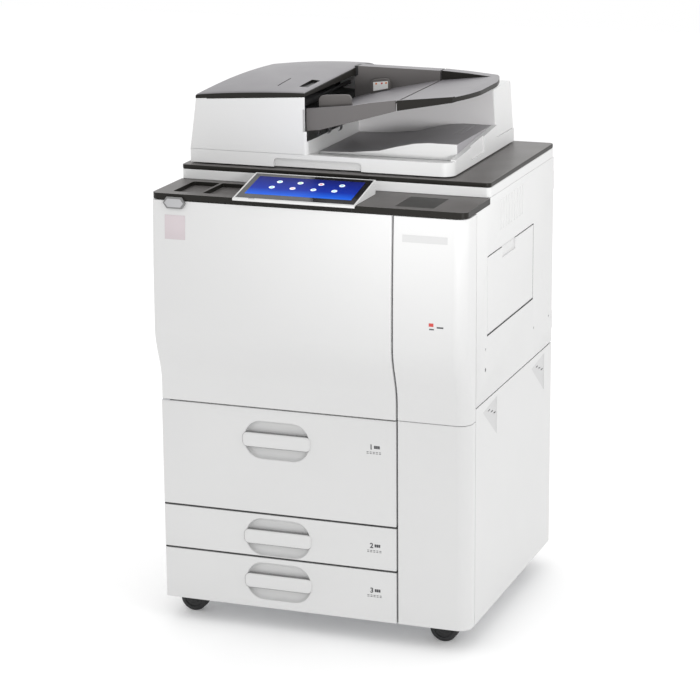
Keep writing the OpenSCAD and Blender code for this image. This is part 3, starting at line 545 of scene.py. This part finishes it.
def feed_cover():
    """The crowned dark cover, with its latch pocket and slit."""
    low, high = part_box("feed_cover")
    x0, x1, y0, y1 = low.x, high.x, low.y, high.y
    base = low.z
    width, depth = x1 - x0, y1 - y0
    roll = 0.005

    def back_fall(w):
        return w / 0.78 if w < 0.78 else 1 - 1.4 * ((w - 0.78) / 0.22) ** 2

    def top_z(u, w):
        edge = 0.015 * u + 0.009 * u * back_fall(w)
        crown = math.sin(math.pi * u ** 0.85) ** 0.7 * (0.003 + 0.009 * math.sin(math.pi * w) ** 0.6)
        return base + 0.009 + edge + crown + 0.005 * (1 - u) * math.sin(math.pi * w)

    def stations(length, count):
        edge = [roll * (1 - math.cos(math.radians(a))) for a in (0, 18, 36, 54, 72)]
        inner = [roll + (length - 2 * roll) * i / count for i in range(count + 1)]
        return edge + inner + [length - e for e in reversed(edge)]

    xs, ys = stations(width, 34), stations(depth, 52)
    bm = bmesh.new()
    grid = []
    for x in xs:
        row = []
        for y in ys:
            d = max(0.0, min(x, width - x, y, depth - y))
            drop = roll - math.sqrt(max(0.0, roll * roll - (roll - min(d, roll)) ** 2))
            u, w = min(1.0, max(0.0, x / width)), min(1.0, max(0.0, y / depth))
            row.append(bm.verts.new((x0 + x, y0 + y, top_z(u, w) - drop * 0.8)))
        grid.append(row)
    for i in range(len(xs) - 1):
        for j in range(len(ys) - 1):
            bm.faces.new((grid[i][j], grid[i + 1][j], grid[i + 1][j + 1], grid[i][j + 1]))
    rim = ([row[0] for row in grid] + grid[-1][1:] + [row[-1] for row in reversed(grid[:-1])]
           + list(reversed(grid[0][1:-1])))
    skirt = []
    for v in rim:
        u = (v.co.x - x0) / width
        skirt.append(bm.verts.new((v.co.x, v.co.y, base + 0.015 * u)))
    for i in range(len(rim)):
        k = (i + 1) % len(rim)
        bm.faces.new((rim[i], rim[k], skirt[k], skirt[i]))
    obj = object_from("feed_cover_shell", bm)
    solid = obj.modifiers.new("solid", "SOLIDIFY")
    solid.thickness = 0.0025
    solid.offset = -1.0
    bake_modifiers(obj)
    x_a, x_b, y_a, y_b = -0.101, -0.082, -0.101, -0.024
    above = high.z + 0.02
    cut(obj, block("pocket_cutter", (x_a, y_a, base), (x_b, y_b, above), 0))
    cut(obj, block("slit_cutter", (-0.1498, -0.103, base + 0.02), (-0.1474, -0.027, above), 0))
    smooth(obj, 35)
    # Painted sheen on the cover's top faces; its sides near black as painted shade
    two_tone(obj, EXTRA["sheen_top"], EXTRA["dark_edge"])
    dress(obj, "dark_trim", "feed_cover", "feed_cover")
    floor, brim = base + 0.017, base + 0.0265
    walls = [block("wall", low_corner, high_corner, 0) for low_corner, high_corner in (
        ((x_a - 0.002, y_a - 0.002, floor), (x_b + 0.002, y_b + 0.002, floor + 0.002)),
        ((x_a - 0.002, y_a - 0.002, floor), (x_a, y_b + 0.002, brim)),
        ((x_b, y_a - 0.002, floor), (x_b + 0.002, y_b + 0.002, brim)),
        ((x_a, y_a - 0.002, floor), (x_b, y_a, brim)),
        ((x_a, y_b, floor), (x_b, y_b + 0.002, brim)))]
    dress(join("latch_pocket", walls), "black_plastic", "feed_cover")


# ---------------------------------------------------------------- casters

def lathe(name, centre, profile, steps=48):
    """A solid of revolution about the Y axis through centre; profile is (radius, y) pairs."""
    bm = bmesh.new()
    rows = []
    for i in range(steps):
        a = 2 * math.pi * i / steps
        rows.append([bm.verts.new((centre[0] + r * math.cos(a), centre[1] + y, centre[2] + r * math.sin(a)))
                     for r, y in profile])
    for i in range(steps):
        k = (i + 1) % steps
        for j in range(len(profile) - 1):
            bm.faces.new((rows[i][j], rows[i][j + 1], rows[k][j + 1], rows[k][j]))
    bm.faces.new([row[0] for row in rows])
    bm.faces.new([row[-1] for row in rows])
    return smooth(object_from(name, bm), 35)


def caster(number):
    """Twin wheels with rounded treads and dished hubs, on a short axle."""
    low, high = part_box(f"caster_wheel_{number}")
    centre = (low + high) / 2
    r = (high.z - low.z) / 2
    half = (high.y - low.y) / 2
    inner = 0.0032
    discs = []
    for side in (-1, 1):
        profile = [(0.004, inner), (r - 0.002, inner), (r - 0.0006, inner + 0.0008), (r, inner + 0.0024),
                   (r, half - 0.0035), (r - 0.0012, half - 0.0012), (r - 0.0034, half),
                   (r - 0.009, half), (r - 0.0105, half - 0.0022), (0.013, half - 0.003),
                   (0.0115, half - 0.0008), (0.0095, half), (0.001, half)]
        discs.append(lathe("disc", centre, [(radius, side * y) for radius, y in profile]))
    discs.append(lathe("axle", centre, [(0.0039, -inner - 0.001), (0.0039, inner + 0.001)], 24))
    node = f"caster_wheel_{number}"
    dress(join(f"caster_{number}_wheels", discs), "rubber", BODY_OF[node], node)


# ---------------------------------------------------------------- control panel

def screen_material():
    """A lit display: deep blue at its far edge, bright at its near edge, with a soft glow band."""
    s = Shader("display")
    low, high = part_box("panel_glass")
    axis = s.node("ShaderNodeSeparateXYZ")
    s.link(s.coords, axis.inputs["Vector"])
    place = s.node("ShaderNodeMapRange")
    place.inputs["From Min"].default_value = low.y
    place.inputs["From Max"].default_value = high.y
    s.link(axis.outputs["Y"], place.inputs["Value"])
    wave = s.noise(9.0, 2.0)
    mix = s.node("ShaderNodeMath")
    mix.operation = "MULTIPLY_ADD"
    s.link(wave, mix.inputs[0])
    mix.inputs[1].default_value = 0.16
    s.link(place.outputs["Result"], mix.inputs[2])
    colour = s.ramp(mix.outputs[0], [(0.1, (0.03, 0.36, 0.85)), (0.26, (0.005, 0.08, 0.5)),
                                     (0.5, (0.002, 0.018, 0.24)), (0.95, (0.002, 0.006, 0.1))])
    s.link(colour, s.principled.inputs["Base Color"])
    s.link(colour, s.principled.inputs["Emission Color"])
    return s.set(Emission_Strength=0.6, Roughness=0.35, Specular_IOR_Level=0.1).material


def control_panel():
    """The display and its icons, laid on the panel's sloping glass."""
    low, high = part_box("panel_glass")
    press = next(j for j in RECORD["behaviour"]["joints"] if j["name"] == "power_key_press")["axis"]
    normal = -Vector(press).normalized()
    up = Vector((0, normal.z, -normal.y))
    glass = 0.0014
    depth = (high.y - low.y + glass * normal.y) / normal.z
    corner = Vector((low.x, low.y, low.z + glass * normal.z))

    def at(x, y, z):
        return corner + Vector((x, 0, 0)) + up * y + normal * z

    def plate(name, x0, x1, y0, y1, z0, z1):
        bm = bmesh.new()
        corners = [bm.verts.new(at(x, y, z)) for z in (z0, z1) for x, y in
                   ((x0, y0), (x1, y0), (x1, y1), (x0, y1))]
        for face in ((3, 2, 1, 0), (4, 5, 6, 7), (0, 1, 5, 4), (1, 2, 6, 5), (2, 3, 7, 6), (3, 0, 4, 7)):
            bm.faces.new([corners[i] for i in face])
        return object_from(name, bm)

    width = high.x - low.x
    display = plate("display_area", 0.0125, width - 0.0135, 0.021, depth - 0.014, -0.0002, 0.0002)
    display.data.materials.append(screen_material())
    dress(display, "screen", "panel")

    palette = [(0.2, 0.75, 0.95), (0.3, 0.75, 0.35), (0.85, 0.25, 0.35), (0.25, 0.6, 0.9),
               (0.2, 0.7, 0.9), (0.9, 0.4, 0.45), (0.3, 0.55, 0.9), (0.35, 0.7, 0.9)]
    for i in range(8):
        column, row = i % 4, i // 4
        x = 0.066 + 0.046 * column - 0.007 * row
        y = depth * (0.70 - 0.23 * row)
        for name, radius, z, tint in (("icon", 0.0062, 0.0005, (0.85, 0.9, 0.95)),
                                      ("glyph", 0.0032, 0.0007, palette[i])):
            bm = bmesh.new()
            centre = at(x, y, z)
            across = Vector((radius, 0, 0))
            ring = [bm.verts.new(centre + across * math.cos(a) + up * (radius * math.sin(a)))
                    for a in [2 * math.pi * k / 28 for k in range(28)]]
            face = bm.faces.new(ring)
            bmesh.ops.extrude_face_region(bm, geom=[face])
            for v in bm.verts[28:]:
                v.co -= normal * 0.0003
            disc = object_from(f"{name}_{i + 1}", bm)
            s = Shader(f"{name}_light_{i + 1}")
            s.link(s.ramp(s.noise(120.0), [(0.3, shade(tint, 0.85)), (0.7, tint)]),
                   s.principled.inputs["Base Color"])
            s.principled.inputs["Emission Color"].default_value = (*tint, 1.0)
            s.set(Emission_Strength=0.35, Roughness=0.2)
            disc.data.materials.append(s.material)
            dress(disc, "screen", "panel")


# ---------------------------------------------------------------- small parts on the body

DOOR_LOW, DOOR_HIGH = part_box("front_door")
DRAWER_LOW, DRAWER_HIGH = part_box("drawer_1_front")
CABINET_FRONT = DRAWER_LOW.y + GRIP_PROUD
SWELL_LOW, SWELL_HIGH = DOOR_LOW.z + 0.036, DOOR_LOW.z + 0.161


def swell(z):
    """Front face of the door and of the column at height z."""
    t = min(1.0, max(0.0, (z - SWELL_LOW) / (SWELL_HIGH - SWELL_LOW)))
    lean = 0.008 * max(0.0, (z - SWELL_HIGH) / (DOOR_HIGH.z - SWELL_HIGH)) ** 2
    return CABINET_FRONT - 0.002 - 0.029 * (1 - math.cos(math.pi * t)) / 2 + lean


def swell_patch(name, x0, x1, z0, z1, proud=0.0003, rows=10):
    """A thin label that follows the swollen front."""
    back = 0.0006
    rings = []
    for i in range(rows + 1):
        z = z0 + (z1 - z0) * i / rows
        y = swell(z)
        rings.append([Vector((x0, y - proud, z)), Vector((x1, y - proud, z)),
                      Vector((x1, y + back, z)), Vector((x0, y + back, z))])
    return loft(name, rings)


def prism(name, outline, y0, y1, width=0.0):
    """An outline of (x, z) points between two values of Y."""
    obj = loft(name, [[Vector((x, y, z)) for x, z in outline] for y in (y0, y1)])
    return round_edges(obj, width) if width else obj


def button(name, centre, radius, height, dome=0.3):
    """A round, slightly domed head that stands out of a flat face along +X."""
    bm = bmesh.new()
    steps, rows = 24, []
    for r, h in ((1.0, -0.3), (1.0, 1 - dome), (0.8, 0.93), (0.45, 1.0)):
        ring = []
        for i in range(steps):
            a = 2 * math.pi * i / steps
            u, v = radius * r * math.cos(a), radius * r * math.sin(a)
            ring.append(bm.verts.new(Vector(centre) + Vector((height * h, u, v))))
        rows.append(ring)
    for low, high in zip(rows, rows[1:]):
        for i in range(steps):
            k = (i + 1) % steps
            bm.faces.new((low[i], low[k], high[k], high[i]))
    bm.faces.new(rows[0])
    bm.faces.new(rows[-1])
    return smooth(object_from(name, bm), 35)


def paint(obj, material):
    obj.data.materials.clear()
    obj.data.materials.append(material)
    return obj


def paint_faces(obj, material, test):
    """Gives a second material to the faces that pass the test."""
    obj.data.materials.append(material)
    index = len(obj.data.materials) - 1
    for face in obj.data.polygons:
        if test(face):
            face.material_index = index
    return obj


def two_tone(obj, top, edge):
    """Top faces in one material, all others in a second one: the lighter tops are painted sheen, the darker
    sides painted shade.
    """
    paint(obj, edge)
    return paint_faces(obj, top, lambda face: face.normal.z > 0.55)


def front_details():
    """The badge, the label window, the blank name plate and the small marks on the column."""
    hexagon = ((-0.317, 0.9345), (-0.3085, 0.947), (-0.2745, 0.947), (-0.266, 0.9345),
               (-0.2745, 0.9225), (-0.3085, 0.9225))
    rim = prism("badge_rim", hexagon, -0.3392, -0.3334, 0.0012)
    dress(paint(rim, EXTRA["outline"]), "silver_plastic", "front_door")
    inner = [(-0.2915 + (x + 0.2915) * 0.84, 0.9347 + (z - 0.9347) * 0.72) for x, z in hexagon]
    face = prism("badge_face", inner, -0.33985, -0.3386, 0.0004)
    dress(paint(face, MATERIAL["silver_plastic"]), "silver_plastic", "front_door")

    window = swell_patch("label_window", -0.315, -0.269, 0.857, 0.908, 0.0004)
    dress(paint(window, EXTRA["window"]), "screen", "front_door")
    plate = swell_patch("name_plate", 0.209, 0.305, 0.886, 0.901, 0.0003)
    dress(paint(plate, EXTRA["faint"]), "covers", "cabinet")
    for name, x0, x1, z0, z1, material in (
            ("column_mark_a", 0.267, 0.277, 0.715, 0.722, EXTRA["red"]),
            ("column_mark_b", 0.268, 0.278, 0.708, 0.7105, EXTRA["print"]),
            ("column_mark_c", 0.284, 0.298, 0.7125, 0.7155, EXTRA["print"])):
        dress(paint(swell_patch(name, x0, x1, z0, z1, 0.0002), material), "covers", "cabinet")


# The dark strips sit in the gap right of the door and drawers, and in the two gaps between the drawers, as
# painted shade
DOOR_STRIP_TOP = 0.933
STRIP_Y = (-0.300, -0.288)
STRIP_X = (DRAWER_HIGH.x + 0.0004, DRAWER_HIGH.x + 0.0028)
DRAWER_GAPS = (0.166, 0.264)


def seam_liners():
    """Dark strips of painted shade in the gaps between the front panels. Each drawer carries its own."""
    strips = [("column_gap_shade", "cabinet", DRAWER_HIGH.z + 0.001, DOOR_STRIP_TOP)]
    for number in (1, 2, 3):
        low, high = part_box(f"drawer_{number}_front")
        body = f"drawer_{number}"
        strips.append((body + "_side_gap_shade", body, low.z + 0.0005, high.z - 0.0005))
    for name, body, z0, z1 in strips:
        shade_strip = block(name, (STRIP_X[0], STRIP_Y[0], z0), (STRIP_X[1], STRIP_Y[1], z1), 0.0003)
        dress(paint(shade_strip, EXTRA["seam"]), "dark_trim", body)
    for i, z in enumerate(DRAWER_GAPS):
        gap_bar = block(f"drawer_gap_shade_{i + 1}", (DRAWER_LOW.x, CABINET_FRONT + 0.002, z - 0.0016),
                     (DRAWER_HIGH.x + 0.0025, CABINET_FRONT + 0.014, z + 0.0016), 0.0003)
        dress(paint(gap_bar, EXTRA["seam"]), "dark_trim", "cabinet")


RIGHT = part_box("right_door")[1].x
# Small heads sunk in the right-hand door: name, y, z, radius and finish
SPOTS = (("door_stud", -0.1996, 0.594, 0.0036, "print"),
         ("side_dot_1", -0.1991, 0.638, 0.0022, "outline"),
         ("side_dot_2", 0.162, 0.596, 0.0022, "outline"),
         ("side_dot_3", 0.283, 0.594, 0.0022, "outline"))
SPOT_BORE = {"deep": 0.0014, "clear": 0.0008, "length": 0.0024}
SPOT_HEAD = {"deep": 0.0008, "height": 0.0006}


def side_details():
    """Heads on the right-hand door and the marks on the bypass tray."""
    for name, y, z, radius, finish in SPOTS:
        head = button(name, (RIGHT - SPOT_HEAD["deep"], y, z), radius, SPOT_HEAD["height"])
        dress(paint(head, EXTRA[finish]), "covers", "right_door")
    arrow = []
    for y0, y1, z in ((-0.060, -0.046, 0.7985), (-0.038, 0.010, 0.7985), (-0.038, -0.004, 0.7925)):
        arrow.append(block("mark", (RIGHT - 0.0004, y0, z), (RIGHT - 0.00002, y1, z + 0.003), 0))
    marks = join("bypass_marks", arrow)
    dress(paint(marks, EXTRA["faint"]), "covers", "bypass_tray")


def deck_details():
    """The plate for a card reader and the deck's seam."""
    plate = block("card_plate", (0.186, -0.308, 0.9515), (0.266, -0.210, 0.9528), 0.0003)
    dress(paint(plate, EXTRA["dark_edge"]), "dark_trim", "cabinet")
    seam = block("deck_seam", (0.0994, -0.3331, 0.9407), (0.1006, -0.3315, 0.9525), 0)
    top = block("deck_seam_top", (0.0994, -0.332, 0.9524), (0.1006, -0.175, 0.95305), 0)
    dress(paint(join("deck_seam_line", [seam, top]), MATERIAL["black_plastic"]), "dark_trim", "cabinet")


# ---------------------------------------------------------------- feeder and lid

PLATE_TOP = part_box("top_plate")[1].z
LID_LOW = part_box("lid_base")[0]
BACK_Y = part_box("rear_housing")[0].y


def at_lid(points):
    """(x, z) points whose heights are given above the platen plate."""
    return [(x, PLATE_TOP + z) for x, z in points]


def feeder_details():
    """What shows under the document tray, in the feeder's mouth and on the rear guide."""
    back = prism("exit_back_wall", at_lid(((-0.063, 0.030), (-0.063, 0.0995), (0.0, 0.1185), (0.0865, 0.1365),
                                            (0.2455, 0.1365), (0.2515, 0.060), (0.2515, 0.034))),
                 BACK_Y - 0.0012, BACK_Y - 0.0002)
    dress(paint(back, EXTRA["wall"]), "tray_gray", "lid")

    guide = prism("paper_path", at_lid(((-0.0715, 0.0995), (-0.100, 0.102), (-0.140, 0.1045), (-0.165, 0.112),
                                        (-0.165, 0.145), (-0.168, 0.145), (-0.168, 0.085), (-0.0715, 0.085))),
                  -0.1435, 0.2835, 0.001)
    dress(paint(guide, MATERIAL["black_plastic"]), "black_plastic", "lid")
    for name, y in (("mouth_wall_front", -0.1518), ("mouth_wall_rear", 0.2895)):
        wall = block(name, (-0.165, y, PLATE_TOP + 0.085), (-0.0735, y + 0.0012, PLATE_TOP + 0.1375), 0)
        dress(paint(wall, MATERIAL["black_plastic"]), "black_plastic", "lid")
    cheek = prism("mouth_cheek_rear", at_lid(((-0.0725, 0.150), (-0.0725, 0.1745), (-0.0645, 0.1745),
                                              (-0.0645, 0.150))), BACK_Y, BACK_Y + 0.0285, 0.0005)
    dress(paint(cheek, MATERIAL["black_plastic"]), "black_plastic", "lid")

    for i in range(3):
        x, z = -0.050 + 0.0245 * i, PLATE_TOP + 0.0845 + 0.0068 * i
        bend = []
        for k in range(9):
            a = math.radians(100 - 22 * k)
            centre = Vector((x + 0.0062 * math.cos(a), -0.1365, z - 0.006 + 0.0082 * math.sin(a)))
            out = Vector((math.cos(a), 0, math.sin(a)))
            half = out * 0.0015 * (1 - 0.07 * k)
            front, back = Vector((0, -0.002, 0)), Vector((0, 0.009, 0))
            bend.append([centre + half + front, centre - half + front,
                         centre - half + back, centre + half + back])
        hook = smooth(loft(f"exit_hook_{i + 1}", bend), 40)
        dress(paint(hook, MATERIAL["black_plastic"]), "black_plastic", "lid")

    label = prism("guide_label", at_lid(((-0.019, 0.125), (-0.019, 0.1445), (0.015, 0.1485),
                                         (0.015, 0.1325))), 0.1366, 0.1379)
    dress(paint(label, EXTRA["label"]), "pad_white", "guide_rear")
    for i, (dx, key) in enumerate(((-0.014, "orange"), (-0.001, "red"), (0.009, "orange"))):
        z = 0.1425 + 0.118 * (dx + 0.019)
        spot = prism(f"guide_label_spot_{i}", at_lid(((dx, z - 0.0035), (dx, z), (dx + 0.004, z + 0.0005),
                                                       (dx + 0.004, z - 0.003))), 0.1362, 0.1368)
        dress(paint(spot, EXTRA[key]), "pad_white", "guide_rear")

    band = block("feeder_seam", (LID_LOW.x + 0.0012, LID_LOW.y, PLATE_TOP + 0.0315),
                 (-0.0715, LID_LOW.y + 0.002, PLATE_TOP + 0.0322), 0)
    dress(paint(band, EXTRA["faint"]), "covers", "lid")


def rounded_nodes():
    """Copies of the CAD nodes with rounded edges; on some, chosen faces get a second material, mostly painted
    sheen or painted shade.
    """
    shells = {}
    widths = {
        "front_door": 0.0016, "column_upper": 0.0016, "column_lower": 0.0016, "left_cover": 0.0008,
        "right_lower_cover": 0.0008, "right_door": 0.0008, "rear_cover": 0.0008,
        "scanner_housing": 0.0015, "lid_base": 0.0018, "feeder_body": 0.0022, "rear_housing": 0.003,
        "exit_stopper": 0.0005, "guide_front": 0.0012, "guide_rear": 0.0012, "panel_housing": 0.0015,
        "panel_glass": 0.0005, "bypass_tray": 0.001, "bypass_extension": 0.0008, "latch_lever": 0.0005,
        "inner_cover": 0.0015, "drum_unit": 0.003, "fuser_unit": 0.002, "mains_inlet": 0.0006,
        "lid_hinge_brackets": 0.0008,
    }
    for node, width in widths.items():
        shells[node] = rounded_copy(node, width)
    # Lighter tops and darker sides: painted sheen on the tray and flap tops, painted shade on the near-black
    # sides of the deck, plate and flap
    for node, width, top, edge in (
            ("deck", 0.0018, MATERIAL["dark_trim"], EXTRA["dark_edge"]),
            ("top_plate", 0.002, MATERIAL["dark_trim"], EXTRA["dark_edge"]),
            ("document_tray", 0.0012, EXTRA["sheen_top"], EXTRA["skirt"]),
            ("tray_flap", 0.002, EXTRA["sheen_top"], EXTRA["dark_edge"])):
        two_tone(rounded_copy(node, width), top, edge)
    deck_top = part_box("deck")[1].z
    # The faces below the deck top, the panel's hinge knuckles, are painted near black: dark plastic, and
    # painted shade that merges them with the shadow under the panel's lip
    paint_faces(shells["panel_housing"], EXTRA["dark_edge"], lambda f: f.center.z < deck_top - 0.0035)
    tray_low, tray_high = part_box("bypass_tray")
    reach = 0.004

    def in_seam(face):
        """True for the walls of the opening that the bypass tray closes."""
        c = face.center
        return (abs(face.normal.x) < 0.3
                and tray_low.y - reach < c.y < tray_high.y + reach
                and tray_low.z - reach < c.z < tray_high.z + reach)

    for _, y, z, radius, _ in SPOTS:
        bore = button("bore", (RIGHT - SPOT_BORE["deep"], y, z), radius + SPOT_BORE["clear"],
                      SPOT_BORE["length"], 0.0)
        smooth(cut(shells["right_door"], bore))
    # Painted shade: the walls of the bypass tray's opening are painted near black
    paint_faces(shells["right_door"], EXTRA["seam"], in_seam)
    # Painted shade: the floor of the shallow louvre recess on the right lower cover is painted a darker grey
    paint_faces(shells["right_lower_cover"], EXTRA["faint"],
                lambda f: f.normal.x > 0.9 and RIGHT - 0.0015 < f.center.x < RIGHT - 0.0005)
    ramp = rounded_copy("exit_tray", 0.0012)
    paint_faces(ramp, MATERIAL["covers"], lambda f: f.normal.y < -0.7 and f.center.y < -0.08)


for node, obj in NODES.items():
    paint(obj, MATERIAL[SLOT_OF[node]])

rounded_nodes()
for number in (1, 2, 3):
    drawer_front(number)
for number in (1, 2, 3, 4):
    caster(number)
feed_cover()
control_panel()
front_details()
seam_liners()
side_details()
deck_details()
feeder_details()
